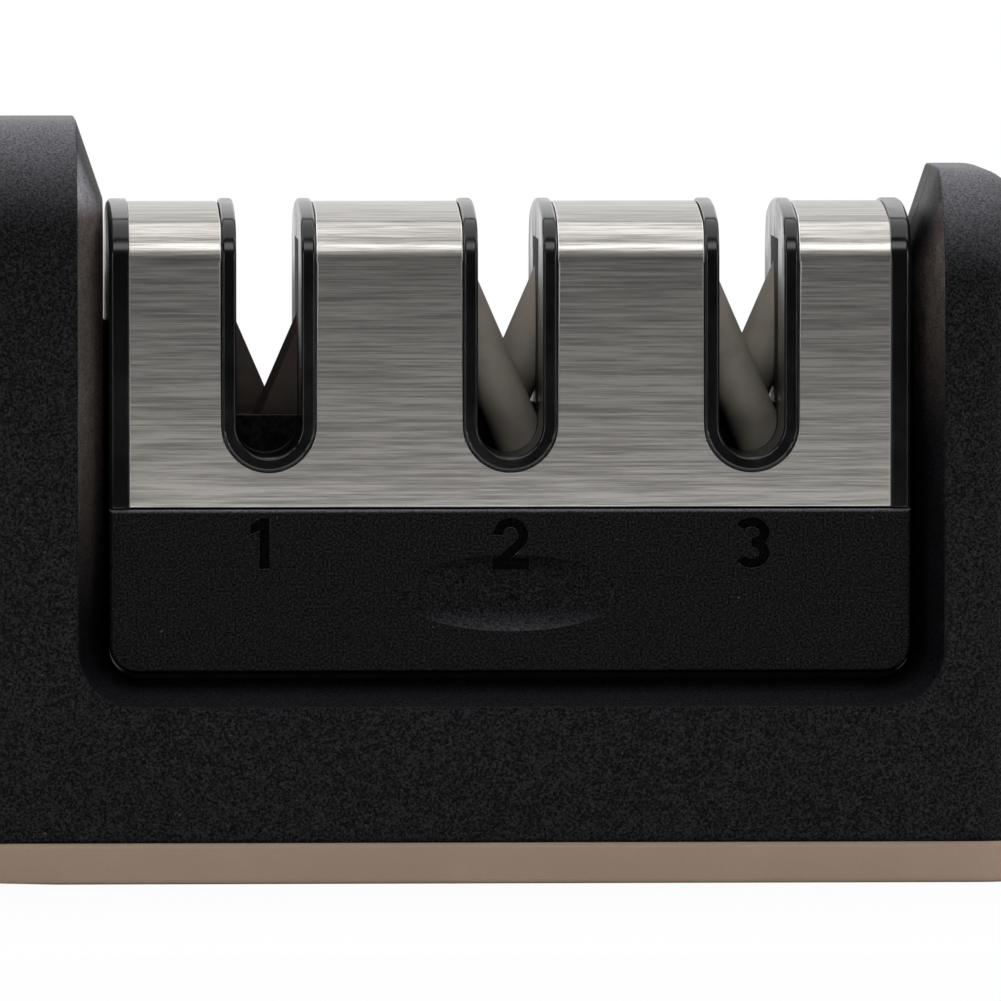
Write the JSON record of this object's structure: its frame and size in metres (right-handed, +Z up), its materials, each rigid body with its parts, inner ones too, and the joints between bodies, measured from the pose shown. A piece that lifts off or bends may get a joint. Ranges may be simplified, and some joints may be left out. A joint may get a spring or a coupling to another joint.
{
  "type": "knife sharpener",
  "caption": "Pull-through knife sharpener with a loop grip, a rubber-edged base and a lift-out cartridge whose slots hold crossed carbide blades and crossed ceramic rods.",
  "frame": {"origin": "on the table under the middle of the base pad", "axes": "+X along the tool from the grip to the end block, +Y from the numbered front to the back, +Z up"},
  "size_m": [0.2012, 0.0432, 0.0762],
  "materials": {
    "body_plastic": "near-black moulded plastic with a satin sheen",
    "trim_plastic": "black moulded plastic, polished tool",
    "panel_plastic": "near-black moulded plastic, fine spark-eroded grain",
    "inner_plastic": "black moulded plastic, as moulded",
    "base_rubber": "taupe thermoplastic rubber, dull",
    "cover_steel": "stainless sheet brushed along its length",
    "blade_carbide": "ground tungsten carbide, dark grey",
    "rod_ceramic": "fine-grained fired ceramic, warm grey",
    "screw_steel": "zinc-plated steel"
  },
  "bodies": {
    "housing": {"front_shell": "body_plastic", "rear_shell": "body_plastic", "base_plate": "inner_plastic", "base_pad": "base_rubber", "shell_screws": "screw_steel", "base_screws": "screw_steel"},
    "cartridge": {"cartridge_screws": "screw_steel", "left_end_cap": "trim_plastic", "right_end_cap": "trim_plastic", "core_front": "trim_plastic", "core_rear": "trim_plastic", "steel_cover": "cover_steel", "front_panel": "panel_plastic", "rear_panel": "panel_plastic", "stage1_holder": "inner_plastic", "stage2_holder": "inner_plastic", "stage3_holder": "inner_plastic", "stage1_blade_front": "blade_carbide", "stage1_blade_rear": "blade_carbide", "stage2_rod_front": "rod_ceramic", "stage2_rod_rear": "rod_ceramic", "stage3_rod_front": "rod_ceramic", "stage3_rod_rear": "rod_ceramic"}
  },
  "joints": [
    {"name": "cartridge_lift", "type": "slide", "parent": "housing", "child": "cartridge", "axis": [0, 0, 1], "range_m": [0, 0.058]}
  ]
}
